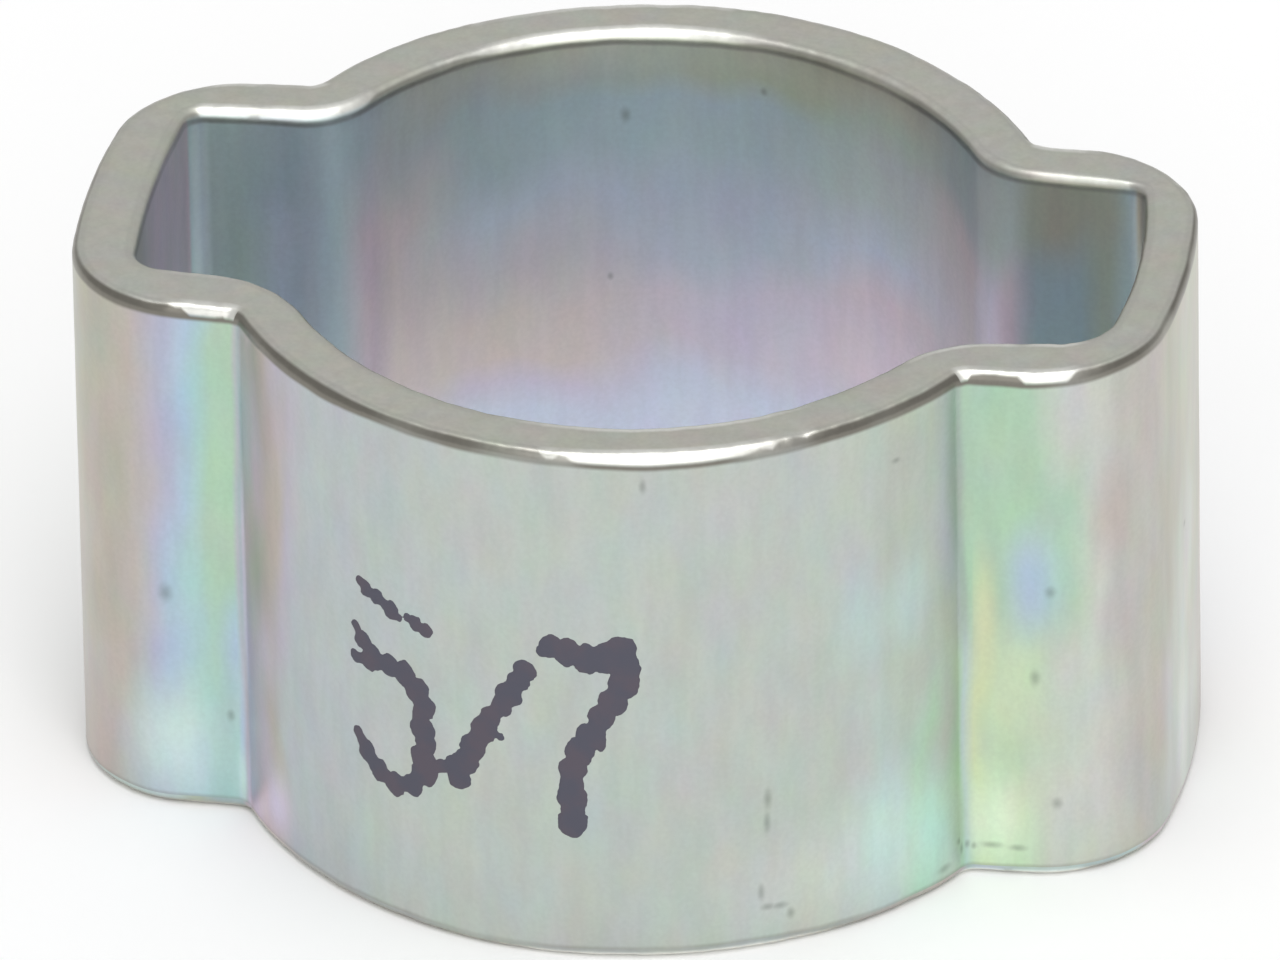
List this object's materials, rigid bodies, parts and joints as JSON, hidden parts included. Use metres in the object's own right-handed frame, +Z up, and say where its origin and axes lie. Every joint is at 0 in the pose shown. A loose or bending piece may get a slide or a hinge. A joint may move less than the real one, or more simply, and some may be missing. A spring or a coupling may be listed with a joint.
{
  "type": "ear hose clamp",
  "caption": "Open ear hose clamp: a round band of thin steel tube with a hollow ear on opposite sides, pinched shut with pliers to grip a thin hose.",
  "frame": {"origin": "on the bore's axis at the lower rim", "axes": "+Z up along the bore, +X through the middle of both ears"},
  "size_m": [0.0108, 0.0082, 0.0058],
  "materials": {
    "zinc_plated_steel": "bright zinc plate with a thin passivate that glances pink, blue, green and yellow",
    "marking_ink": "dark ink sprayed in small dots"
  },
  "bodies": {
    "root": {"clamp_band": "zinc_plated_steel"}
  },
  "joints": []
}
